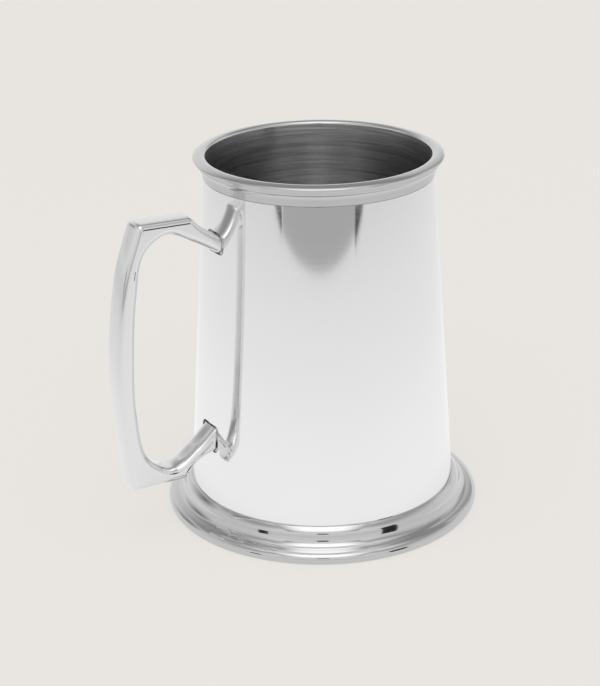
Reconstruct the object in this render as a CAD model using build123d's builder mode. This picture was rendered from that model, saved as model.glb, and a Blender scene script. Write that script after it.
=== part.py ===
from build123d import *
import os

os.makedirs("parts", exist_ok=True)

# A pint tankard in pewter: a tapered drum on a spread foot, with a moulded rim and a cast handle.
# Millimetres. The origin is on the drum's axis at the standing plane, +Z is up,
# and the handle stands out along -X.

# ---- Driving dimensions ----
total_height = 123.0     # standing plane to the crown of the lip
shoulder_z = 9.8         # where the drum rises out of the foot
cove_z = 115.7           # where the cove under the lip begins
drum_low_r = 44.85       # outside of the drum at the shoulder
drum_high_r = 37.77      # outside of the drum under the cove
wall = 1.2               # sheet thickness of the drum
lip_r = 40.8             # outside of the lip
foot_r = 53.35           # outside of the foot
seat_z = 6.0             # lower edge of the drum, inside the foot
floor_z = 10.2           # inside floor
floor_t = 1.5            # thickness of the floor
seam_w = 1.2             # width of the solder strip that closes the drum
tongue_h = 3.8           # how far the drum reaches up inside the rim moulding
tongue_inset = 0.55      # step in the drum's outside at that tongue
handle_w = 9.0           # width of the handle across the object
outer_round = 0.9        # rounding of the handle's outer edges
inner_round = 2.0        # rounding of the handle's finger side
corner_round = 1.0       # rounding of the handle's four corners
solder_w = 1.0           # width of the solder fillets round the arms

taper = (drum_low_r - drum_high_r) / (cove_z - shoulder_z)


def drum_r(z):
    """Outside radius of the drum at height z."""
    return drum_low_r - taper * (z - shoulder_z)


def bore_r(z):
    """Inside radius of the drum at height z."""
    return drum_r(z) - wall


# ---- Drum: sheet rolled to a cone, with a tongue at the top for the rim moulding ----
tongue_top = cove_z + tongue_h
tongue_r = drum_high_r - tongue_inset
tongue_bore = bore_r(cove_z) - 0.05

with BuildSketch(Plane.XZ) as wall_section:
    with BuildLine():
        Polyline(
            (drum_r(seat_z), seat_z),
            (drum_high_r, cove_z),
            (tongue_r, cove_z),
            (tongue_r, tongue_top),
            (tongue_bore, tongue_top),
            (bore_r(cove_z), cove_z),
            (bore_r(seat_z), seat_z),
            close=True,
        )
    make_face()

# The open line of the rolled sheet, behind the handle; it is deep enough for the wall's whole lean.
slot_depth = 20.0

with BuildSketch(Plane.XY.offset(seat_z)) as seam_slot:
    with Locations((-drum_low_r, 0)):
        Rectangle(slot_depth, seam_w)

with BuildPart() as drum:
    add(wall_section.sketch)
    revolve(axis=Axis.Z)
    add(seam_slot.sketch)
    extrude(amount=tongue_top - seat_z, mode=Mode.SUBTRACT)
drum.part.label = "drum"
export_step(drum.part, "parts/drum.step")

# ---- Solder strip that closes the drum ----
with BuildPart() as drum_seam:
    add(wall_section.sketch)
    revolve(axis=Axis.Z)
    add(seam_slot.sketch)
    extrude(amount=tongue_top - seat_z, mode=Mode.INTERSECT)
drum_seam.part.label = "drum_seam"
export_step(drum_seam.part, "parts/drum_seam.step")

# ---- Rim moulding: a plain band, a cove, a fascia and a lip that slopes outwards ----
# The band's lower edge is bevelled in past the drum, which leaves a fine groove where they meet.
band_r = 37.97
band_top = 118.0
band_foot_r = drum_high_r - 0.15
band_bevel = 0.35
cove_top = (39.3, 119.75)
fascia_r = 39.55
fascia_top = 121.0
lip_edge_z = 121.85
crown_r = 38.4
mouth_r = 36.6

with BuildPart() as rim_ring:
    with BuildSketch(Plane.XZ):
        with BuildLine():
            Line((tongue_r, cove_z), (band_foot_r, cove_z))
            Line((band_foot_r, cove_z), (band_r, cove_z + band_bevel))
            Line((band_r, cove_z + band_bevel), (band_r, band_top))
            Bezier((band_r, band_top), (band_r + 0.05, cove_top[1] - 0.35), cove_top)
            Line(cove_top, (fascia_r, cove_top[1] + 0.25))
            Line((fascia_r, cove_top[1] + 0.25), (fascia_r, fascia_top))
            Bezier(
                (fascia_r, fascia_top),
                (fascia_r + 0.1, lip_edge_z - 0.45),
                (lip_r - 0.35, lip_edge_z - 0.4),
            )
            Bezier(
                (lip_r - 0.35, lip_edge_z - 0.4),
                (lip_r, lip_edge_z - 0.35),
                (lip_r, lip_edge_z),
            )
            Bezier(
                (lip_r, lip_edge_z),
                (lip_r, lip_edge_z + 0.5),
                (lip_r - 1.0, lip_edge_z + 0.85),
                (crown_r, total_height),
            )
            Bezier(
                (crown_r, total_height),
                (mouth_r + 0.2, total_height),
                (mouth_r, total_height - 1.0),
            )
            Line((mouth_r, total_height - 1.0), (tongue_bore, tongue_top))
            Line((tongue_bore, tongue_top), (tongue_r, tongue_top))
            Line((tongue_r, tongue_top), (tongue_r, cove_z))
        make_face()
    revolve(axis=Axis.Z)
rim_ring.part.label = "rim_ring"
export_step(rim_ring.part, "parts/rim_ring.step")

# ---- Floor: a flat plate inside the drum ----
with BuildPart() as floor_disc:
    with BuildSketch(Plane.XZ):
        with BuildLine():
            Polyline(
                (0, floor_z - floor_t),
                (bore_r(floor_z - floor_t), floor_z - floor_t),
                (bore_r(floor_z), floor_z),
                (0, floor_z),
                close=True,
            )
        make_face()
    revolve(axis=Axis.Z)
floor_disc.part.label = "floor_disc"
export_step(floor_disc.part, "parts/floor_disc.step")

# ---- Foot: a spun shell, round shoulder, sloping neck, cove and rounded outer edge ----
neck = (47.25, 7.3)
cove_end = (50.3, 4.0)
edge_z = 1.5
stand_out_r = 52.6
stand_in_r = 51.0
foot_t = 1.5
ledge_r = bore_r(seat_z)

with BuildPart() as foot_ring:
    with BuildSketch(Plane.XZ):
        with BuildLine():
            Line((drum_r(shoulder_z), shoulder_z), (drum_low_r + 0.5, shoulder_z))
            Bezier((drum_low_r + 0.5, shoulder_z), (neck[0] - 0.44, neck[1] + 1.43), neck)
            Bezier(neck, (neck[0] + 0.89, cove_end[1] + 0.37), cove_end)
            Bezier(cove_end, (foot_r - 0.15, cove_end[1] - 0.5), (foot_r, edge_z))
            Bezier((foot_r, edge_z), (foot_r, 0.2), (stand_out_r, 0))
            Line((stand_out_r, 0), (stand_in_r, 0))
            Bezier(
                (stand_in_r, 0),
                (stand_in_r - 0.1, cove_end[1] - foot_t - 0.4),
                (cove_end[0] - 1.3, cove_end[1] - foot_t),
            )
            Bezier(
                (cove_end[0] - 1.3, cove_end[1] - foot_t),
                (neck[0] - 1.5, cove_end[1] - foot_t + 0.3),
                (ledge_r, seat_z - foot_t),
            )
            Line((ledge_r, seat_z - foot_t), (ledge_r, seat_z))
            Line((ledge_r, seat_z), (drum_r(seat_z), seat_z))
            Line((drum_r(seat_z), seat_z), (drum_r(shoulder_z), shoulder_z))
        make_face()
    revolve(axis=Axis.Z)
foot_ring.part.label = "foot_ring"
export_step(foot_ring.part, "parts/foot_ring.step")

# ---- Solder under the floor: fills the corner between the floor and the drum's inside ----
solder_leg = 2.0
under_floor = floor_z - floor_t

with BuildPart() as foot_solder:
    with BuildSketch(Plane.XZ):
        with BuildLine():
            Line((bore_r(under_floor), under_floor), (bore_r(under_floor) - solder_leg, under_floor))
            Bezier(
                (bore_r(under_floor) - solder_leg, under_floor),
                (bore_r(under_floor) - 0.5, under_floor - 0.5),
                (bore_r(under_floor - solder_leg), under_floor - solder_leg),
            )
            Line(
                (bore_r(under_floor - solder_leg), under_floor - solder_leg),
                (bore_r(under_floor), under_floor),
            )
        make_face()
    revolve(axis=Axis.Z)
foot_solder.part.label = "foot_solder"
export_step(foot_solder.part, "parts/foot_solder.step")

# ---- Handle: one casting; its outline lies in the XZ plane, with r measured from the axis ----
thumb_corner = (48.7, 110.0)
back_top = (67.4, 110.7)
back_bottom = (74.0, 21.0)
heel_corner = (53.6, 20.9)
lower_root_r = 38.0      # both arms run on into the drum, and are then cut to its face
upper_root_r = 34.5
free_r = 46.0            # from here outwards the arms stand clear of the drum


def at(r, z):
    """A point of the handle's outline, r out from the axis on the handle's side."""
    return (-r, z)


with BuildSketch(Plane.XZ) as handle_outline:
    with BuildLine():
        Line(at(*thumb_corner), at(*back_top))
        Spline(at(*back_top), at(73.2, 93.5), at(76.9, 64.0), at(75.6, 38.0), at(*back_bottom))
        Line(at(*back_bottom), at(*heel_corner))
        Bezier(at(*heel_corner), at(51.7, 26.9), at(lower_root_r, 28.6))
        Line(at(lower_root_r, 28.6), at(lower_root_r, 38.6))
        Spline(
            at(lower_root_r, 38.6), at(42.9, 36.4), at(49.8, 30.6), at(58.6, 25.8), at(67.3, 31.5),
            at(70.4, 47.8), at(70.3, 66.0), at(68.3, 87.3), at(64.9, 100.8), at(57.3, 105.3),
            at(48.7, 101.6), at(38.7, 95.7), at(upper_root_r, 93.8),
        )
        Line(at(upper_root_r, 93.8), at(upper_root_r, 100.6))
        Bezier(at(upper_root_r, 100.6), at(44.6, 104.3), at(*thumb_corner))
    make_face()

# The drum as a solid cone, for cutting the ends of the arms to its face.
with BuildPart() as drum_core:
    with BuildSketch(Plane.XZ):
        with BuildLine():
            Polyline((0, seat_z), (drum_r(seat_z), seat_z), (drum_high_r, cove_z), (0, cove_z), close=True)
        make_face()
    revolve(axis=Axis.Z)

with BuildPart() as handle_blank:
    with BuildSketch(Plane.XZ.offset(-handle_w / 2)):
        add(handle_outline.sketch_local)
    extrude(amount=handle_w)
    corners = handle_blank.edges().filter_by(Axis.Y).filter_by(lambda edge: edge.center().X < -free_r)
    fillet(corners, radius=corner_round)
    near_side = handle_blank.faces().sort_by(Axis.Y)[0].edges()
    far_side = handle_blank.faces().sort_by(Axis.Y)[-1].edges()
    finger_edges = [near_side.sort_by(SortBy.LENGTH)[-1], far_side.sort_by(SortBy.LENGTH)[-1]]
    fillet(finger_edges, radius=inner_round)
    near_side = handle_blank.faces().sort_by(Axis.Y)[0].edges().sort_by(SortBy.LENGTH)[:-1]
    far_side = handle_blank.faces().sort_by(Axis.Y)[-1].edges().sort_by(SortBy.LENGTH)[:-1]
    # The upright edges are the sawn ends inside the drum, and stay sharp.
    outer_edges = (near_side + far_side).filter_by(Axis.Z, reverse=True)
    fillet(outer_edges, radius=outer_round)

with BuildPart() as handle:
    add(handle_blank.part)
    add(drum_core.part, mode=Mode.SUBTRACT)
handle.part.label = "handle"
export_step(handle.part, "parts/handle.step")

# ---- Solder fillets: a bevelled collar round each arm, on the face of the drum ----
# Each outline runs along the arm's upper and lower edges, one fillet's width outside them.
upper_outline = (at(36.0, 93.4), at(42.0, 96.2), at(42.0, 104.8), at(36.0, 101.5))
lower_outline = (at(40.0, 27.4), at(46.0, 26.0), at(46.0, 35.8), at(40.0, 39.2))
band_low, band_high = 20.0, 112.0
solder_bevel = 0.7 * solder_w

for name, outline in (("upper_handle_solder", upper_outline), ("lower_handle_solder", lower_outline)):
    with BuildPart() as collar:
        with BuildSketch(Plane.XZ):
            with BuildLine():
                Polyline(
                    (drum_r(band_low), band_low),
                    (drum_r(band_low) + solder_w, band_low),
                    (drum_r(band_high) + solder_w, band_high),
                    (drum_r(band_high), band_high),
                    close=True,
                )
            make_face()
        revolve(axis=Axis.Z)
        with BuildSketch(Plane.XZ.offset(-handle_w / 2 - solder_w)):
            with BuildLine():
                Polyline(*outline, close=True)
            make_face()
        extrude(amount=handle_w + 2 * solder_w, mode=Mode.INTERSECT)
        front = collar.faces().filter_by(GeomType.CONE).sort_by(Axis.X)[0]
        chamfer(front.edges(), length=solder_bevel)
        add(handle_blank.part, mode=Mode.SUBTRACT)
    collar.part.label = name
    export_step(collar.part, f"parts/{name}.step")
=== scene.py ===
import math

import bpy
from mathutils import Matrix, Vector


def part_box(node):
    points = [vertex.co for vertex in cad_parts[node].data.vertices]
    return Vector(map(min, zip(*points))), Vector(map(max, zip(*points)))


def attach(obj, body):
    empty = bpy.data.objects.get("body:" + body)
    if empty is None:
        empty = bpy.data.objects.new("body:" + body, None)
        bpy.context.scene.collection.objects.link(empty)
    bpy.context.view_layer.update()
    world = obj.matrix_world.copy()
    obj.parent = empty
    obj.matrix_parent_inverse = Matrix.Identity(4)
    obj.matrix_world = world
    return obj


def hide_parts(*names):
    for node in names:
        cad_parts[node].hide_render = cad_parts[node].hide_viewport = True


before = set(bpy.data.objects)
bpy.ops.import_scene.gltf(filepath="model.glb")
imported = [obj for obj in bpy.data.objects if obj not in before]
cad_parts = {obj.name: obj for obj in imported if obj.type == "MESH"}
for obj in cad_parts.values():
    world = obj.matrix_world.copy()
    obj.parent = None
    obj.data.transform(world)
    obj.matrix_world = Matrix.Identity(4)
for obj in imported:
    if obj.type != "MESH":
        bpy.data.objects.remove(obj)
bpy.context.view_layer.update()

# A polished pewter tankard: drum, rim moulding, foot and cast handle.
# The lengths below are in millimetres, as in the CAD part, and become metres where a mesh is made.
MM = 0.001

# ---- Sizes that come from the frame ----
drum_low, drum_high = (Vector(v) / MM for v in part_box("drum"))
rim_low, rim_high = (Vector(v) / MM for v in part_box("rim_ring"))
floor_low, floor_high = (Vector(v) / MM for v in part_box("floor_disc"))
foot_high = Vector(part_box("foot_ring")[1]) / MM
handle_high = Vector(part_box("handle")[1]) / MM

total_height = rim_high.z       # crown of the lip
lip_r = rim_high.x              # outside of the lip
cove_z = rim_low.z              # top of the drum's bare outside
tongue_top = drum_high.z        # top of the drum, inside the rim moulding
shoulder_z = foot_high.z        # where the drum rises out of the foot
foot_r = foot_high.x            # outside of the foot
seat_z = drum_low.z             # lower edge of the drum, inside the foot
handle_half = handle_high.y     # half the handle's width across the object

# ---- Sizes of the profile that the frame's boxes don't give ----
drum_low_r = 44.85              # outside of the drum at the shoulder
drum_high_r = 37.77             # outside of the drum under the rim
wall = 1.2                      # sheet thickness of the drum
tongue_r = drum_high_r - 0.55   # outside of the tongue inside the rim moulding
seam_width = 1.2                # width of the solder strip that closes the drum
taper = (drum_low_r - drum_high_r) / (cove_z - shoulder_z)


def drum_r(z):
    """Outside radius of the drum at height z."""
    return drum_low_r - taper * (z - shoulder_z)


def bore_r(z):
    """Inside radius of the drum at height z."""
    return drum_r(z) - wall


tongue_bore = bore_r(cove_z) - 0.05


# ---- Curves ----
def bezier(*controls, steps=12):
    """Points of a Bezier curve of any degree through its first and last control."""
    points = []
    for i in range(steps + 1):
        t = i / steps
        row = [Vector(c) for c in controls]
        while len(row) > 1:
            row = [a.lerp(b, t) for a, b in zip(row, row[1:])]
        points.append(row[0])
    return points


def line(a, b, steps=1):
    """Points of a straight run."""
    return [Vector(a).lerp(Vector(b), i / steps) for i in range(steps + 1)]


def through(*points, steps=10):
    """Points of a smooth curve through every given point (centripetal Catmull-Rom)."""
    knots = [Vector(p) for p in points]
    knots = [knots[0] * 2 - knots[1]] + knots + [knots[-1] * 2 - knots[-2]]
    out = [knots[1].copy()]
    for a, b, c, d in zip(knots, knots[1:], knots[2:], knots[3:]):
        t1 = (b - a).length ** 0.5
        t2 = t1 + (c - b).length ** 0.5
        t3 = t2 + (d - c).length ** 0.5
        for i in range(1, steps + 1):
            t = t1 + (t2 - t1) * i / steps
            ab = a * ((t1 - t) / t1) + b * (t / t1)
            bc = b * ((t2 - t) / (t2 - t1)) + c * ((t - t1) / (t2 - t1))
            cd = c * ((t3 - t) / (t3 - t2)) + d * ((t - t2) / (t3 - t2))
            abc = ab * ((t2 - t) / t2) + bc * (t / t2)
            bcd = bc * ((t3 - t) / (t3 - t1)) + cd * ((t - t1) / (t3 - t1))
            out.append(abc * ((t2 - t) / (t2 - t1)) + bcd * ((t - t1) / (t2 - t1)))
    return out


def tangents(points):
    """Unit directions along a run of points."""
    last = len(points) - 1
    return [(points[min(i + 1, last)] - points[max(i - 1, 0)]).normalized() for i in range(last + 1)]


def mesh_object(name, vertices, faces, *materials):
    """An object with its mesh and materials, in the scene."""
    mesh = bpy.data.meshes.new(name)
    mesh.from_pydata(vertices, [], faces)
    for material in materials:
        mesh.materials.append(material)
    made = bpy.data.objects.new(name, mesh)
    bpy.context.scene.collection.objects.link(made)
    return made


# ---- Materials ----
def new_material(name):
    """A node material with its node tree and its principled shader."""
    material = bpy.data.materials.new(name)
    material.use_nodes = True
    nodes = material.node_tree.nodes
    shader = nodes["Principled BSDF"]
    return material, material.node_tree, shader


def stretched_noise(tree, scale, detail, x_stretch, z_stretch):
    """Noise in the object's own space, drawn out round the axis or along it."""
    place = tree.nodes.new("ShaderNodeTexCoord")
    mapping = tree.nodes.new("ShaderNodeMapping")
    noise = tree.nodes.new("ShaderNodeTexNoise")
    mapping.inputs["Scale"].default_value = (x_stretch, x_stretch, z_stretch)
    noise.inputs["Scale"].default_value = scale
    noise.inputs["Detail"].default_value = detail
    tree.links.new(place.outputs["Object"], mapping.inputs["Vector"])
    tree.links.new(mapping.outputs["Vector"], noise.inputs["Vector"])
    return noise.outputs["Fac"]


def ranged(tree, value, low, high):
    """Maps a value from 0..1 to low..high."""
    node = tree.nodes.new("ShaderNodeMapRange")
    node.inputs["To Min"].default_value = low
    node.inputs["To Max"].default_value = high
    node.clamp = False
    tree.links.new(value, node.inputs["Value"])
    return node.outputs["Result"]


def bump(tree, height, strength, distance, normal=None):
    """A bump of the given depth in metres on top of another."""
    node = tree.nodes.new("ShaderNodeBump")
    node.inputs["Strength"].default_value = strength
    node.inputs["Distance"].default_value = distance
    tree.links.new(height, node.inputs["Height"])
    if normal is not None:
        tree.links.new(normal, node.inputs["Normal"])
    return node.outputs["Normal"]


def tinted(tree, value, dark, light):
    """A grey between two tones."""
    node = tree.nodes.new("ShaderNodeMix")
    node.data_type = "RGBA"
    node.inputs["A"].default_value = (dark, dark, dark, 1)
    node.inputs["B"].default_value = (light, light, light, 1)
    tree.links.new(value, node.inputs["Factor"])
    return node.outputs["Result"]


def polished_pewter(name, dark, light, rough_low, rough_high):
    """Mirror-polished pewter: soft clouding, faint polishing lines round the axis, slight waviness."""
    material, tree, shader = new_material(name)
    shader.inputs["Metallic"].default_value = 1.0
    clouds = stretched_noise(tree, 25, 2, 1, 1)
    lines = stretched_noise(tree, 400, 3, 0.12, 4)
    wave = stretched_noise(tree, 45, 1, 1, 1)
    tree.links.new(tinted(tree, clouds, dark, light), shader.inputs["Base Color"])
    tree.links.new(ranged(tree, lines, rough_low, rough_high), shader.inputs["Roughness"])
    waved = bump(tree, wave, 0.2, 0.00006)
    scored = bump(tree, lines, 0.1, 0.000004, waved)
    tree.links.new(scored, shader.inputs["Normal"])
    return material


def distance_from_origin(tree):
    """How far a point is from the origin, in metres."""
    place = tree.nodes.new("ShaderNodeTexCoord")
    length = tree.nodes.new("ShaderNodeVectorMath")
    length.operation = "LENGTH"
    tree.links.new(place.outputs["Object"], length.inputs[0])
    return length.outputs["Value"]


def ring_strokes(tree, scale):
    """Fine noise that changes only with the distance from the origin, as rings on a flat piece."""
    noise = tree.nodes.new("ShaderNodeTexNoise")
    noise.noise_dimensions = "1D"
    noise.inputs["Scale"].default_value = scale
    noise.inputs["Detail"].default_value = 3
    tree.links.new(distance_from_origin(tree), noise.inputs["W"])
    return noise.outputs["Fac"]


def satin_pewter(name, dark, light, flat=False):
    """Pewter brushed round the axis, as the inside is left. A flat piece has its strokes in rings."""
    material, tree, shader = new_material(name)
    shader.inputs["Metallic"].default_value = 1.0
    # The strokes run round the axis, so highlights are drawn out along the height.
    shader.inputs["Anisotropic"].default_value = 0.97
    shader.inputs["Anisotropic Rotation"].default_value = 0.25
    place = tree.nodes.new("ShaderNodeTexCoord")
    round_axis = tree.nodes.new("ShaderNodeVectorMath")
    round_axis.operation = "CROSS_PRODUCT"
    round_axis.inputs[0].default_value = (0, 0, 1)
    tree.links.new(place.outputs["Object"], round_axis.inputs[1])
    tree.links.new(round_axis.outputs["Vector"], shader.inputs["Tangent"])
    if flat:
        fine = coarse = ring_strokes(tree, 900)
    else:
        fine = stretched_noise(tree, 260, 3, 0.16, 9)
        coarse = stretched_noise(tree, 120, 2, 0.16, 9)
    strokes = tree.nodes.new("ShaderNodeMix")
    strokes.inputs["Factor"].default_value = 0.25
    tree.links.new(fine, strokes.inputs["A"])
    tree.links.new(coarse, strokes.inputs["B"])
    spread = ranged(tree, strokes.outputs["Result"], -0.8, 1.8)
    tree.links.new(tinted(tree, spread, dark, light), shader.inputs["Base Color"])
    tree.links.new(ranged(tree, fine, 0.18, 0.23), shader.inputs["Roughness"])
    tree.links.new(bump(tree, fine, 0.3, 0.000012), shader.inputs["Normal"])
    return material


def rough_solder_painted_shade(name, dark, light):
    """Lumpy solder: bright lumps between hollows painted black, which is painted shade standing for the
    dark crevice where the handle meets the drum.
    """
    material, tree, shader = new_material(name)
    shader.inputs["Metallic"].default_value = 1.0
    lumps = stretched_noise(tree, 320, 2, 1, 1)
    # The black of the hollows is painted shade of the crevice at the joint.
    spread = ranged(tree, lumps, -1.1, 1.9)
    tree.links.new(tinted(tree, spread, dark, light), shader.inputs["Base Color"])
    tree.links.new(ranged(tree, lumps, 0.34, 0.18), shader.inputs["Roughness"])
    tree.links.new(bump(tree, lumps, 0.5, 0.0003), shader.inputs["Normal"])
    return material


# The metal's dark and light tones, and for polished metal its lowest and highest roughness. The trim,
# handle and rim are the same pewter as the drum with darker tones: painted shade for the darker reflections
# on those parts.
polished = polished_pewter("polished_pewter", 0.85, 0.88, 0.05, 0.09)
trim_polish_painted_shade = polished_pewter("trim_polish_painted_shade", 0.58, 0.61, 0.06, 0.10)
handle_polish_painted_shade = polished_pewter("handle_polish_painted_shade", 0.76, 0.79, 0.11, 0.16)
rim_polish_painted_shade = polished_pewter("rim_polish_painted_shade", 0.57, 0.60, 0.10, 0.16)
satin = satin_pewter("satin_pewter", 0.56, 0.96)
floor_satin = satin_pewter("floor_satin", 0.70, 0.80, flat=True)
# The near-black dark tone is painted crevice shade at the handle joints.
solder = rough_solder_painted_shade("tin_solder", 0.03, 0.60)
smooth_solder = polished_pewter("smooth_solder", 0.42, 0.52, 0.2, 0.3)


# ---- Turned pieces ----
round_segments = 288        # steps round a whole turned piece
gap_segments = 2            # steps round the solder strip
same_place = 1e-6           # points closer than this count as one, or as on the axis


def joined_profile(runs):
    """The runs' points as one outline, and each step of it with its two normals and its run's number."""
    points, steps = [], []
    for number, run in enumerate(runs):
        start = len(points) - 1 if points else 0
        points += run[1:] if points else run
        directions = tangents(run)
        for i in range(len(run) - 1):
            pair = [Vector((d.y, -d.x)) for d in (directions[i], directions[i + 1])]
            steps.append((start + i, start + i + 1, pair, number))
    if (points[0] - points[-1]).length < same_place:
        points = points[:-1]
    return points, steps


def turned(name, runs, materials, run_material=None, gap=0.0, only_gap=False):
    """A solid of revolution. Each run of the profile is smooth, and runs meet in a crease.

    run_material has the number of each run's material. gap leaves out that width round the
    handle's side, and only_gap keeps nothing else.
    """
    half_gap = gap / 2 / runs[0][0].x if gap else 0.0
    if only_gap:
        first, sweep, segments = math.pi - half_gap, 2 * half_gap, gap_segments
    else:
        first, sweep, segments = math.pi + half_gap, 2 * math.pi - 2 * half_gap, round_segments
    closed = gap == 0.0
    columns = segments if closed else segments + 1
    angles = [first + sweep * i / segments for i in range(columns)]
    points, steps = joined_profile(runs)
    count = len(points)

    # The profile's points at every angle. A point on the axis is there only once.
    vertices = []
    index = {}
    for column, angle in enumerate(angles):
        for k, p in enumerate(points):
            if p.x < same_place and column > 0:
                index[column, k] = index[0, k]
                continue
            index[column, k] = len(vertices)
            vertices.append((p.x * math.cos(angle) * MM, p.x * math.sin(angle) * MM, p.y * MM))

    # A face for each step of the profile in each segment: three corners where it meets the axis.
    faces, face_materials, normals = [], [], []
    for column in range(segments):
        here, there = column, (column + 1) % columns
        a, b = angles[column], first + sweep * (column + 1) / segments
        for low, high, pair, number in steps:
            low, high = low % count, high % count
            corners = [(here, low, a, 0), (there, low, b, 0), (there, high, b, 1), (here, high, a, 1)]
            if points[low].x < same_place:
                corners = [corners[0], corners[2], corners[3]]
            elif points[high].x < same_place:
                corners = corners[:3]
            faces.append([index[c[0], c[1]] for c in corners])
            face_materials.append(run_material[number] if run_material else 0)
            for _, _, angle, end in corners:
                n = pair[end]
                normals.append((n.x * math.cos(angle), n.x * math.sin(angle), n.y))

    # The two flat ends of an open piece.
    if not closed:
        for column, order in ((0, 1), (columns - 1, -1)):
            faces.append([index[column, i] for i in range(count)][::order])
            face_materials.append(0)
            side = Vector((-math.sin(angles[column]), math.cos(angles[column]), 0)) * -order
            normals += [side] * count

    piece = mesh_object(name, vertices, faces, *materials)
    for polygon, number in zip(piece.data.polygons, face_materials):
        polygon.material_index = number
        polygon.use_smooth = True
    piece.data.normals_split_custom_set(normals)
    piece.data.update()
    return piece


def finish_piece(piece, node):
    """The piece rides on the tankard and stands for its CAD node."""
    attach(piece, "root")
    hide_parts(node)


# Drum, up its outside, over the tongue and down the bore.
drum_runs = [
    line((drum_r(seat_z), seat_z), (drum_high_r, cove_z)),
    line((drum_high_r, cove_z), (tongue_r, cove_z)),
    line((tongue_r, cove_z), (tongue_r, tongue_top)),
    line((tongue_r, tongue_top), (tongue_bore, tongue_top)),
    line((tongue_bore, tongue_top), (bore_r(cove_z), cove_z)),
    line((bore_r(cove_z), cove_z), (bore_r(seat_z), seat_z)),
    line((bore_r(seat_z), seat_z), (drum_r(seat_z), seat_z)),
]
drum_looks = (polished, satin)
drum_run_looks = [0, 0, 0, 0, 1, 1, 0]     # satin inside, polished elsewhere
drum_wall = turned("drum_wall", drum_runs, drum_looks, drum_run_looks, gap=seam_width)
seam_strip = turned("drum_seam_strip", drum_runs, drum_looks, drum_run_looks, gap=seam_width, only_gap=True)
finish_piece(drum_wall, "drum")
finish_piece(seam_strip, "drum_seam")

# Rim moulding, up the band, the cove and the fascia, over the lip and into the mouth.
band_r = 37.97                          # outside of the plain band
band_top = 118.0
band_foot_r = drum_high_r - 0.15        # set in, which leaves a fine groove above the drum
band_bevel = 0.35                       # height of the bevel at the band's lower edge
cove_top = (39.3, 119.75)
fascia_r = 39.55
fascia_top = 121.0
lip_edge_z = 121.85                     # where the lip is widest
crown_r = 38.4                          # where the lip is highest
mouth_r = 36.6                          # inside of the mouth
rim_runs = [
    line((tongue_r, cove_z), (band_foot_r, cove_z)),
    line((band_foot_r, cove_z), (band_r, cove_z + band_bevel)),
    line((band_r, cove_z + band_bevel), (band_r, band_top), steps=6)
    + bezier((band_r, band_top), (band_r + 0.05, cove_top[1] - 0.35), cove_top, steps=20)[1:],
    bezier(cove_top, (fascia_r, cove_top[1] + 0.05), (fascia_r, cove_top[1] + 0.4), steps=6)
    + bezier(
        (fascia_r, fascia_top),
        (fascia_r + 0.1, lip_edge_z - 0.45),
        (lip_r - 0.35, lip_edge_z - 0.4),
        steps=8,
    ),
    bezier(
        (lip_r - 0.35, lip_edge_z - 0.4), (lip_r, lip_edge_z - 0.35), (lip_r, lip_edge_z), steps=8
    )
    + bezier(
        (lip_r, lip_edge_z),
        (lip_r, lip_edge_z + 0.5),
        (lip_r - 1.0, lip_edge_z + 0.85),
        (crown_r, total_height),
        steps=24,
    )[1:]
    + bezier(
        (crown_r, total_height), (mouth_r + 0.2, total_height), (mouth_r, total_height - 1.0), steps=16
    )[1:],
    line((mouth_r, total_height - 1.0), (tongue_bore, tongue_top)),
    line((tongue_bore, tongue_top), (tongue_r, tongue_top)),
    line((tongue_r, tongue_top), (tongue_r, cove_z)),
]
finish_piece(
    turned("rim_moulding", rim_runs, (rim_polish_painted_shade, satin), [0, 0, 0, 0, 0, 1, 0, 0]),
    "rim_ring",
)

# Floor, a flat plate with its edge against the bore.
floor_runs = [
    line((0, floor_low.z), (bore_r(floor_low.z), floor_low.z), steps=24),
    line((bore_r(floor_low.z), floor_low.z), (bore_r(floor_high.z), floor_high.z)),
    line((bore_r(floor_high.z), floor_high.z), (0, floor_high.z), steps=24),
]
finish_piece(turned("floor_plate", floor_runs, (floor_satin,)), "floor_disc")

# Foot, a spun shell.
neck = (47.25, 7.3)             # lower end of the sloping neck, where the cove starts
cove_end = (50.3, 4.0)          # where the cove ends and the rounded outer edge starts
edge_z = 1.5                    # where the foot is widest
stand_out_r = 52.6              # outer edge of the ring that it stands on
stand_in_r = 51.0               # inner edge of that ring
foot_t = 1.5                    # thickness of the shell
ledge_r = bore_r(seat_z)        # inner edge of the ledge under the drum
foot_runs = [
    line((drum_r(shoulder_z), shoulder_z), (drum_low_r + 0.5, shoulder_z))
    + bezier(
        (drum_low_r + 0.5, shoulder_z), (neck[0] - 0.44, neck[1] + 1.43), neck, steps=32,
    )[1:]
    + bezier(neck, (neck[0] + 0.89, cove_end[1] + 0.37), cove_end, steps=32)[1:]
    + bezier(cove_end, (foot_r - 0.15, cove_end[1] - 0.5), (foot_r, edge_z), steps=28)[1:]
    + bezier((foot_r, edge_z), (foot_r, 0.2), (stand_out_r, 0), steps=14)[1:],
    line((stand_out_r, 0), (stand_in_r, 0)),
    bezier(
        (stand_in_r, 0),
        (stand_in_r - 0.1, cove_end[1] - foot_t - 0.4),
        (cove_end[0] - 1.3, cove_end[1] - foot_t),
        steps=12,
    )
    + bezier(
        (cove_end[0] - 1.3, cove_end[1] - foot_t),
        (neck[0] - 1.5, cove_end[1] - foot_t + 0.3),
        (ledge_r, seat_z - foot_t),
        steps=12,
    )[1:],
    line((ledge_r, seat_z - foot_t), (ledge_r, seat_z)),
    line((ledge_r, seat_z), (drum_r(seat_z), seat_z)),
    line((drum_r(seat_z), seat_z), (drum_r(shoulder_z), shoulder_z)),
]
# The outline is drawn down the outside, and turned() takes it the other way round.
foot_runs = [run[::-1] for run in foot_runs[::-1]]
finish_piece(turned("foot_moulding", foot_runs, (trim_polish_painted_shade,)), "foot_ring")

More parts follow.
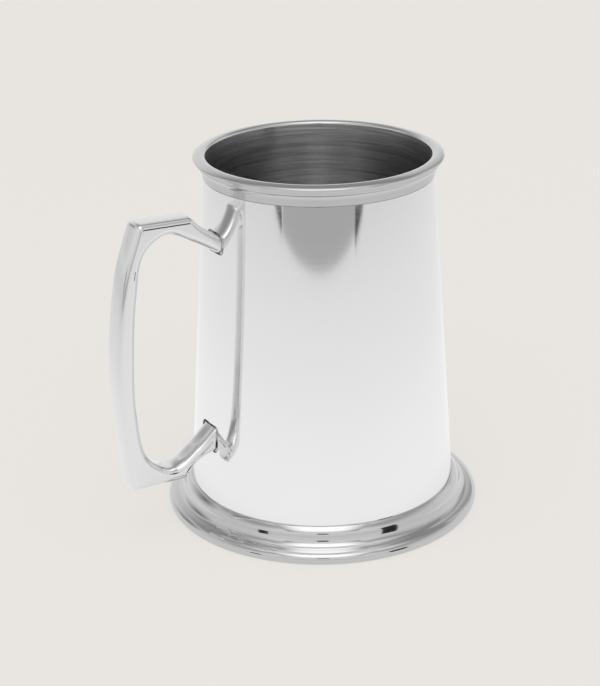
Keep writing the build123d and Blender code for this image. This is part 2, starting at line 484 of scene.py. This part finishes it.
# Solder under the floor: a fillet with one leg along the floor and one down the bore.
solder_leg = 2.0
under_floor = floor_low.z
solder_corner = (bore_r(under_floor), under_floor)
solder_inner = (bore_r(under_floor) - solder_leg, under_floor)
solder_lower = (bore_r(under_floor - solder_leg), under_floor - solder_leg)
solder_hollow = (bore_r(under_floor) - 0.5, under_floor - 0.5)
foot_solder_runs = [
    line(solder_corner, solder_inner),
    bezier(solder_inner, solder_hollow, solder_lower, steps=12),
    line(solder_lower, solder_corner),
]
finish_piece(
    turned("foot_solder_fillet", foot_solder_runs, (smooth_solder,)),
    "foot_solder",
)

# ---- Handle: a flat casting with rounded edges ----
# Its places are (distance out from the axis, height) in the handle's own plane.
thumb_corner = Vector((48.7, 110.0))
back_top = Vector((67.36, 110.7))
back_bottom = Vector((73.96, 21.0))
heel_corner = Vector((53.6, 20.9))
upper_root_top = Vector((37.6, 101.5))
upper_root_low = Vector((37.6, 95.2))
lower_root_top = Vector((42.2, 36.8))
lower_root_low = Vector((42.6, 27.9))
outer_round = 1.5       # rounding of the outer long edges
inner_round = 2.0       # rounding of the long edges on the finger side
corner_round = 2.0      # rounding of the outline's corners
crown = 0.45            # how far the back and the finger side fall away towards their edges


def rounded_corner(before, after, radius, steps=8):
    """Joins two runs that end and start at one corner by an arc of the radius."""
    corner = before[-1]
    back_dir = (before[-2] - corner).normalized()
    on_dir = (after[1] - corner).normalized()
    half = back_dir.angle(on_dir) / 2
    cut = radius / math.tan(half)
    kept_before = [p for p in before if (p - corner).length > cut]
    kept_after = [p for p in after if (p - corner).length > cut]
    centre = corner + (back_dir + on_dir).normalized() * (radius / math.sin(half))
    a, b = corner + back_dir * cut - centre, corner + on_dir * cut - centre
    turn = a.angle_signed(b)
    arc = []
    for i in range(steps + 1):
        angle = -turn * i / steps
        arc.append(centre + Matrix.Rotation(angle, 2) @ a)
    return kept_before + arc + kept_after


def resampled(points, count):
    """The same path with evenly spaced points."""
    lengths = [0.0]
    for a, b in zip(points, points[1:]):
        lengths.append(lengths[-1] + (b - a).length)
    out, j = [], 0
    for i in range(count + 1):
        want = lengths[-1] * i / count
        while j < len(points) - 2 and lengths[j + 1] < want:
            j += 1
        step = lengths[j + 1] - lengths[j]
        out.append(points[j].lerp(points[j + 1], (want - lengths[j]) / step))
    return out


# The outside, from the upper root over the thumb and down the back to the lower root.
top_sweep = bezier(upper_root_top, (44.4, 104.4), thumb_corner, steps=60)
top_flat = line(thumb_corner, back_top, steps=60)
back_run = through(back_top, (73.16, 93.5), (76.86, 64.0), (75.56, 38.0), back_bottom, steps=50)
base_flat = line(back_bottom, heel_corner, steps=60)
low_sweep = bezier(heel_corner, (51.6, 26.9), lower_root_low, steps=60)
outer_path = rounded_corner(top_sweep, top_flat, corner_round)
outer_path = rounded_corner(outer_path, back_run, corner_round)
outer_path = rounded_corner(outer_path, base_flat, corner_round)
outer_path = rounded_corner(outer_path, low_sweep, corner_round)

# The finger side, from the upper root to the lower one.
inner_path = through(
    upper_root_low,
    (38.7, 95.7), (48.7, 101.6), (57.3, 105.3), (64.9, 100.8), (68.3, 87.3), (70.3, 66.0),
    (70.4, 47.8), (67.3, 31.5), (58.6, 25.8), (49.8, 30.6), (42.9, 36.4),
    lower_root_top,
    steps=24,
)


def matched(outer, inner, pairs):
    """Both paths with the same number of points, so that the two places of each pair are opposite."""
    def nearest(path, place):
        return min(range(len(path)), key=lambda i: (path[i] - Vector(place)).length)

    ins = [0] + [nearest(inner, b) for _, b in pairs] + [len(inner) - 1]
    outs = [0] + [nearest(outer, a) for a, _ in pairs] + [len(outer) - 1]
    inner_out = []
    for (i0, i1), (o0, o1) in zip(zip(ins, ins[1:]), zip(outs, outs[1:])):
        count = o1 - o0
        inner_out += resampled(inner[i0 : i1 + 1], count)[:-1]
    return outer, inner_out + [inner[-1]]


outer_path, inner_path = matched(
    outer_path, inner_path,
    [
        (thumb_corner, (49.5, 102.2)),
        (back_top, (64.5, 101.3)),
        ((76.9, 64.0), (70.3, 64.0)),
        (back_bottom, (67.0, 31.0)),
        (heel_corner, (54.0, 27.2)),
    ],
)

round_steps = 7                             # steps of each rounded long edge
face_shares = (0.03, 0.35, 0.65, 0.97)      # where points lie across the flat faces


def rounded_bar(name, outer, inner, half_width, material):
    """A bar between two paths in the XZ plane, with its four long edges rounded."""
    outer_normals = [Vector((-t.y, t.x)) for t in tangents(outer)]
    inner_normals = [Vector((t.y, -t.x)) for t in tangents(inner)]

    def fallen(place, normal, depth, y):
        """The place set in by a depth, and by the crown's fall at y."""
        return place - normal * (depth + crown * (y / half_width) ** 2)

    rings = []
    for back, finger, back_normal, finger_normal in zip(outer, inner, outer_normals, inner_normals):
        near = []
        for share in (0.25, 0.6):
            y = -(half_width - inner_round) * share
            near.append((fallen(finger, finger_normal, 0.0, y), y))
        for k in range(round_steps + 1):
            a = math.pi / 2 * k / round_steps
            y = -half_width + inner_round * (1 - math.sin(a))
            near.append((fallen(finger, finger_normal, inner_round * (1 - math.cos(a)), y), y))
        face_in = finger - finger_normal * (inner_round + crown)
        face_out = back - back_normal * (outer_round + crown)
        for share in face_shares:
            near.append((face_in.lerp(face_out, share), -half_width))
        for k in range(round_steps + 1):
            a = math.pi / 2 * k / round_steps
            y = -half_width + outer_round * (1 - math.cos(a))
            near.append((fallen(back, back_normal, outer_round * (1 - math.sin(a)), y), y))
        for share in (0.6, 0.25):
            y = -(half_width - outer_round) * share
            near.append((fallen(back, back_normal, 0.0, y), y))
        ring = near + [(p, -y) for p, y in near[::-1]]
        rings.append([(-p.x * MM, y * MM, p.y * MM) for p, y in ring])
    size = len(rings[0])
    vertices = [v for ring in rings for v in ring]
    faces = []
    for r in range(len(rings) - 1):
        for k in range(size):
            n = (k + 1) % size
            faces.append((r * size + k, r * size + n, (r + 1) * size + n, (r + 1) * size + k))
    faces.append(tuple(range(size))[::-1])
    last = (len(rings) - 1) * size
    faces.append(tuple(range(last, last + size)))
    piece = mesh_object(name, vertices, faces, material)
    for polygon in piece.data.polygons:
        polygon.use_smooth = True
    weighted = piece.modifiers.new("even_shading", "WEIGHTED_NORMAL")
    weighted.weight = 80
    return piece


finish_piece(
    rounded_bar("cast_handle", outer_path, inner_path, handle_half, handle_polish_painted_shade),
    "handle",
)

# ---- Solder: a bead round each arm where it meets the drum ----
bead_r = 0.33           # radius of the bead
bead_corner = 1.2       # rounding of the bead's four corners
bead_clear = 0.1        # how far the bead's middle stands off the handle's section
bead_around = 10        # points round the bead
corner_steps = 6        # steps of each corner
steps_between = 4       # steps from each point of the loop to the next
lump_height = 0.12      # how uneven the bead is, as a share of its radius


def meets_drum(path):
    """Where a path of the handle passes through the drum's face."""
    for a, b in zip(path, path[1:]):
        over_a, over_b = a.x - drum_r(a.y), b.x - drum_r(b.y)
        if over_a * over_b <= 0 and over_a != over_b:
            return a.lerp(b, over_a / (over_a - over_b))
    raise ValueError("the path doesn't reach the drum")


def bead_path(low, high):
    """A closed path on the drum's face round the handle's section, between two heights."""
    half = handle_half + bead_clear
    low_z, high_z = low.y - bead_clear, high.y + bead_clear
    loop = []
    for y_side, z_side, first in ((1, 1, 0), (-1, 1, 90), (-1, -1, 180), (1, -1, 270)):
        centre_y = y_side * (half - bead_corner)
        centre_z = (high_z if z_side > 0 else low_z) - z_side * bead_corner
        for i in range(corner_steps + 1):
            a = math.radians(first + 90 / corner_steps * i)
            loop.append((centre_y + bead_corner * math.cos(a), centre_z + bead_corner * math.sin(a)))
    path = []
    for (y0, z0), (y1, z1) in zip(loop, loop[1:] + loop[:1]):
        for i in range(steps_between):
            y = y0 + (y1 - y0) * i / steps_between
            z = z0 + (z1 - z0) * i / steps_between
            path.append(Vector((-math.sqrt(drum_r(z) ** 2 - y * y), y, z)))
    return path


def solder_bead(name, low, high):
    """A slightly lumpy bead along that path."""
    path = bead_path(low, high)
    vertices, faces = [], []
    for i, p in enumerate(path):
        along = (path[(i + 1) % len(path)] - path[i - 1]).normalized()
        out = Vector((p.x, p.y, 0)).normalized()
        side = along.cross(out).normalized()
        out = side.cross(along).normalized()
        lumpy = 1.0 + lump_height * math.sin(2.3 * i) * math.cos(0.7 * i)
        for k in range(bead_around):
            a = 2 * math.pi * k / bead_around
            v = p + (side * math.cos(a) + out * math.sin(a)) * bead_r * lumpy
            vertices.append(tuple(v * MM))
    for i in range(len(path)):
        j = (i + 1) % len(path)
        here, there = i * bead_around, j * bead_around
        for k in range(bead_around):
            n = (k + 1) % bead_around
            faces.append((here + k, here + n, there + n, there + k))
    piece = mesh_object(name, vertices, faces, solder)
    for polygon in piece.data.polygons:
        polygon.use_smooth = True
    return piece


finish_piece(
    solder_bead("upper_solder_bead", meets_drum(inner_path), meets_drum(outer_path)),
    "upper_handle_solder",
)
finish_piece(
    solder_bead("lower_solder_bead", meets_drum(outer_path[::-1]), meets_drum(inner_path[::-1])),
    "lower_handle_solder",
)

# ---- Studio: pale floor, soft light, camera ----
camera_turn = math.radians(-31.2)       # the camera's direction, turned from the -Y side
camera_distance = 0.5451                # from the tankard's axis, level
camera_height = 0.2778                  # above the floor


def studio(x, y, z):
    """A place given from the camera's side: x to its right, y away from it."""
    return Matrix.Rotation(camera_turn, 3, "Z") @ Vector((x, y, z))


def round_from_camera(azimuth, distance, z):
    """A place at an angle from the camera's direction, positive to its right."""
    a = math.radians(azimuth)
    return studio(distance * math.sin(a), -distance * math.cos(a), z)


def stage_sheet(name, corners, material, seen_by_camera=False):
    """A flat sheet of the studio. One that the camera doesn't see is only there to be reflected."""
    sheet = mesh_object(name, corners, [tuple(range(len(corners)))], material)
    sheet.visible_camera = seen_by_camera
    sheet.visible_glossy = not seen_by_camera
    if not seen_by_camera:
        sheet.visible_diffuse = False
        sheet.visible_shadow = False
    return sheet


def ramp(tree, value, stops):
    """A smooth grey ramp: (place, brightness) from low to high."""
    node = tree.nodes.new("ShaderNodeValToRGB")
    node.color_ramp.interpolation = "B_SPLINE"
    elements = node.color_ramp.elements
    while len(elements) < len(stops):
        elements.new(0.5)
    for element, (place, grey) in zip(elements, stops):
        element.position = place
        element.color = (grey, grey, grey, 1)
    tree.links.new(value, node.inputs["Fac"])
    return node.outputs["Color"]


def mixed(tree, factor, first, second):
    """A blend of two colours."""
    node = tree.nodes.new("ShaderNodeMix")
    node.data_type = "RGBA"
    tree.links.new(factor, node.inputs["Factor"])
    tree.links.new(first, node.inputs["A"])
    tree.links.new(second, node.inputs["B"])
    return node.outputs["Result"]


def eased(tree, value, low, high):
    """0 below low, 1 above high, and smooth between."""
    node = tree.nodes.new("ShaderNodeMapRange")
    node.interpolation_type = "SMOOTHSTEP"
    node.inputs["From Min"].default_value = low
    node.inputs["From Max"].default_value = high
    tree.links.new(value, node.inputs["Value"])
    return node.outputs["Result"]


def glow_material(name, strength, make_brightness=None):
    """A sheet that only gives off light, even or shaded by a function of its node tree."""
    material = bpy.data.materials.new(name)
    material.use_nodes = True
    tree = material.node_tree
    tree.nodes.clear()
    out = tree.nodes.new("ShaderNodeOutputMaterial")
    glow = tree.nodes.new("ShaderNodeEmission")
    glow.inputs["Strength"].default_value = strength
    if make_brightness:
        tree.links.new(make_brightness(tree), glow.inputs["Color"])
    tree.links.new(glow.outputs["Emission"], out.inputs["Surface"])
    return material


# The sheet that the tankard stands on. Its glow keeps the shadows faint.
reach = 8.0
floor_material, _, floor_shader = new_material("floor")
floor_shader.inputs["Base Color"].default_value = (0.22, 0.214, 0.205, 1)
floor_shader.inputs["Roughness"].default_value = 0.9
floor_shader.inputs["Specular IOR Level"].default_value = 0.0
floor_shader.inputs["Emission Color"].default_value = (1.0, 0.97, 0.923, 1)
floor_shader.inputs["Emission Strength"].default_value = 0.636
stage_sheet(
    "floor", [(-reach, -reach, 0), (reach, -reach, 0), (reach, reach, 0), (-reach, reach, 0)],
    floor_material, True,
)

# What the metal mirrors of the table: brightest close by, with its front edge behind a gap. Its dimmer ring
# right by the foot is painted contact shade.
table_edge = 0.48           # from the tankard to the front edge
table_reach = 3.0
table_z = -0.0002           # just under the floor that the camera sees
gap_turn = 34.0             # half the angle that the front edge takes up
table_fade = 1.6            # distance over which the brightness changes
# The low stops nearest the tankard are painted contact shade.
table_stops = [
    (0.0, 0.80), (0.035, 0.85), (0.05, 1.0), (0.15, 0.88),
    (0.27, 0.83), (0.40, 0.72), (0.6, 0.72), (1.0, 0.76),
]


def table_brightness(tree):
    """Brightness that changes with the distance from the tankard."""
    share = ranged(tree, distance_from_origin(tree), 0.0, 1.0 / table_fade)
    return ramp(tree, share, table_stops)


table_material = glow_material("table_glow", 1.0, table_brightness)
corner_distance = table_edge / math.cos(math.radians(gap_turn))
far_turns = (gap_turn, 90, 135, 180, -135, -90, -gap_turn)
far_corners = [round_from_camera(turn, table_reach, table_z) for turn in far_turns]
stage_sheet(
    "mirrored_table",
    [round_from_camera(gap_turn, corner_distance, table_z)]
    + far_corners
    + [round_from_camera(-gap_turn, corner_distance, table_z)],
    table_material,
)

# A pale backdrop all round, which only the camera sees.
backdrop_r = 7.5
backdrop_height = 7.0
backdrop_foot = -0.01       # a little under the floor, so that no gap shows
backdrop_sides = 48
backdrop_material, _, backdrop_shader = new_material("backdrop")
backdrop_shader.inputs["Base Color"].default_value = (0, 0, 0, 1)
backdrop_shader.inputs["Specular IOR Level"].default_value = 0.0
backdrop_shader.inputs["Emission Color"].default_value = (0.807, 0.783, 0.745, 1)
backdrop_shader.inputs["Emission Strength"].default_value = 1.0
for side in range(backdrop_sides):
    turn_a, turn_b = 360.0 * side / backdrop_sides, 360.0 * (side + 1) / backdrop_sides
    panel = stage_sheet(
        f"backdrop_{side}",
        [
            round_from_camera(turn_a, backdrop_r, backdrop_foot),
            round_from_camera(turn_b, backdrop_r, backdrop_foot),
            round_from_camera(turn_b, backdrop_r, backdrop_height),
            round_from_camera(turn_a, backdrop_r, backdrop_height),
        ],
        backdrop_material, True,
    )
    panel.visible_diffuse = False
    panel.visible_shadow = False


# Stands and cards round the table, which show only as reflections.
dark_material = glow_material("dark_stand", 0.03)


def across_sheet(tree):
    """Where a point lies in its sheet's box, 0 to 1 each way."""
    place = tree.nodes.new("ShaderNodeTexCoord")
    split = tree.nodes.new("ShaderNodeSeparateXYZ")
    tree.links.new(place.outputs["Generated"], split.inputs["Vector"])
    return split.outputs


def darker_middle(tree):
    """Grey in the middle and as bright as the wall behind it at both sides."""
    return ramp(tree, across_sheet(tree)["X"], [(0.0, 0.88), (0.4, 0.45), (0.6, 0.45), (1.0, 0.88)])


def darker_centre(tree):
    """Grey in the centre and as bright as the wall behind it on every side."""
    share = across_sheet(tree)
    hill = [(0.0, 0.0), (0.4, 1.0), (0.6, 1.0), (1.0, 0.0)]
    across = ramp(tree, share["X"], hill)
    upwards = ramp(tree, share["Z"], hill)
    both = tree.nodes.new("ShaderNodeMath")
    both.operation = "MULTIPLY"
    tree.links.new(across, both.inputs[0])
    tree.links.new(upwards, both.inputs[1])
    return tinted(tree, both.outputs["Value"], 0.86, 0.20)


grey_material = glow_material("grey_stand", 1.0, darker_middle)
dim_material = glow_material("dim_stand", 1.0, darker_centre)
gap_material = glow_material("front_gap", 0.42)


def upright(name, low_azimuth, high_azimuth, distance, low, high, material):
    """An upright card across a range of angles from the camera's direction, between two heights."""
    stage_sheet(
        name,
        [
            round_from_camera(low_azimuth, distance, low),
            round_from_camera(high_azimuth, distance, low),
            round_from_camera(high_azimuth, distance, high),
            round_from_camera(low_azimuth, distance, high),
        ],
        material,
    )


upright("right_stand", 46, 59, 0.75, 0.0, 0.27, dark_material)
upright("left_stand", -50, -42, 0.75, 0.02, 0.15, dark_material)
upright("back_right_stand", 132, 166, 1.2, 0.30, 1.05, grey_material)
upright("back_left_stand", -136, -98, 1.0, 0.08, 0.78, dim_material)

wedge_z = 0.0002


def wedge(name, tip_azimuth, near, low_azimuth, high_azimuth, far):
    """A dark triangle that lies on the table, with its tip near the tankard."""
    stage_sheet(
        name,
        [
            round_from_camera(tip_azimuth, near, wedge_z),
            round_from_camera(high_azimuth, far, wedge_z),
            round_from_camera(low_azimuth, far, wedge_z),
        ],
        dark_material,
    )


wedge("right_foot_of_stand", 32.0, 0.53, 34.0, 43.0, 0.68)
wedge("left_foot_of_stand", -34.0, 0.57, -43.0, -35.0, 0.68)
upright("front_gap", -34, 34, 0.85, -0.30, 0.02, gap_material)

# The camera's own dark shape.
lens_half = 0.045           # half the shape's width and height
behind_camera = 1.06        # its distance, with the camera's own as 1
shape_y = -camera_distance * behind_camera
shape_z = camera_height * behind_camera
stage_sheet(
    "camera_shape",
    [
        studio(x * lens_half, shape_y, shape_z + z * lens_half)
        for x, z in ((-1, -1), (1, -1), (1, 1), (-1, 1))
    ],
    dark_material,
)


# The large soft light over the camera.
def soft_edges(tree):
    """Even in the middle and fading towards the edges."""
    share = across_sheet(tree)
    side_stops = [(0.0, 0.25), (0.15, 0.7), (0.3, 1.0), (0.7, 1.0), (0.85, 0.7), (1.0, 0.25)]
    across = ramp(tree, share["X"], side_stops)
    along = ramp(tree, share["Y"], [(0.0, 0.40), (0.12, 0.6), (0.28, 1.0), (1.0, 1.0)])
    product = tree.nodes.new("ShaderNodeMix")
    product.data_type = "RGBA"
    product.blend_type = "MULTIPLY"
    product.inputs["Factor"].default_value = 1.0
    tree.links.new(across, product.inputs["A"])
    tree.links.new(along, product.inputs["B"])
    return product.outputs["Result"]


light_material = glow_material("soft_light", 1.8, soft_edges)
light_width = 0.95
light_height = 0.75
light_corners = [
    (x * light_width / 2, y * light_height / 2, 0) for x, y in ((-1, -1), (1, -1), (1, 1), (-1, 1))
]
light_panel = mesh_object("soft_light", light_corners, [(0, 1, 2, 3)], light_material)
light_tilt = math.radians(60)
light_distance = 1.0
light_place = studio(0, -light_distance * math.cos(light_tilt), light_distance * math.sin(light_tilt))
light_turn = Matrix.Rotation(camera_turn, 4, "Z") @ Matrix.Rotation(math.pi / 2 - light_tilt, 4, "X")
light_panel.matrix_world = Matrix.Translation(light_place) @ light_turn
light_panel.visible_camera = False

# The room's air: a bright ceiling over grey walls. Each ramp runs up from the horizon to the zenith.
world = bpy.data.worlds.new("studio_air")
bpy.context.scene.world = world
world.use_nodes = True
air = world.node_tree
direction = air.nodes.new("ShaderNodeTexCoord")
turned_direction = air.nodes.new("ShaderNodeMapping")
turned_direction.inputs["Rotation"].default_value = (0, 0, -camera_turn)
air.links.new(direction.outputs["Generated"], turned_direction.inputs["Vector"])
parts = air.nodes.new("ShaderNodeSeparateXYZ")
air.links.new(turned_direction.outputs["Vector"], parts.inputs["Vector"])
upwards = parts.outputs["Z"]
ceiling_stops = [(0.84, 0.58), (0.90, 0.90), (0.94, 1.35), (1.0, 0.95)]
side_stops = [(0.0, 0.78), (0.35, 0.88), (0.6, 0.66), (0.72, 0.46)] + ceiling_stops
back_stops = [(0.0, 0.90), (0.3, 0.92), (0.5, 0.86), (0.65, 0.36), (0.92, 0.34), (1.0, 0.7)]
front_stops = [(0.0, 0.70), (0.2, 0.90), (0.5, 0.90), (0.7, 1.15)] + ceiling_stops[1:]
side_wall = ramp(air, upwards, side_stops)
back_wall = ramp(air, upwards, back_stops)
front_wall = ramp(air, upwards, front_stops)
to_back = eased(air, parts.outputs["Y"], 0.1, 0.5)
forwards = air.nodes.new("ShaderNodeMath")
forwards.operation = "MULTIPLY"
forwards.inputs[1].default_value = -1.0
air.links.new(parts.outputs["Y"], forwards.inputs[0])
to_front = eased(air, forwards.outputs["Value"], 0.3, 0.7)
walls = mixed(air, to_front, mixed(air, to_back, side_wall, back_wall), front_wall)
air.links.new(walls, air.nodes["Background"].inputs["Color"])
air.nodes["Background"].inputs["Strength"].default_value = 1.0

bpy.context.scene.view_settings.view_transform = "Standard"

# The camera, at the angle that the picture is seen from.
camera_yaw = math.radians(-0.73)
camera_pitch = math.radians(22.16)
camera_roll = math.radians(-0.93)
camera_data = bpy.data.cameras.new("camera")
camera_data.sensor_width = 36.0
camera_data.lens = 91.37
camera = bpy.data.objects.new("camera", camera_data)
forward = Vector(
    (
        math.sin(camera_yaw) * math.cos(camera_pitch),
        math.cos(camera_yaw) * math.cos(camera_pitch),
        -math.sin(camera_pitch),
    )
)
level_right = Vector((math.cos(camera_yaw), -math.sin(camera_yaw), 0))
level_up = level_right.cross(forward)
right = math.cos(camera_roll) * level_right + math.sin(camera_roll) * level_up
up = -math.sin(camera_roll) * level_right + math.cos(camera_roll) * level_up
axes = Matrix((right, up, -forward)).transposed()
turned_axes = Matrix.Rotation(camera_turn, 3, "Z") @ axes
camera_place = studio(0, -camera_distance, camera_height)
camera.matrix_world = Matrix.Translation(camera_place) @ turned_axes.to_4x4()
bpy.context.scene.collection.objects.link(camera)
bpy.context.scene.camera = camera
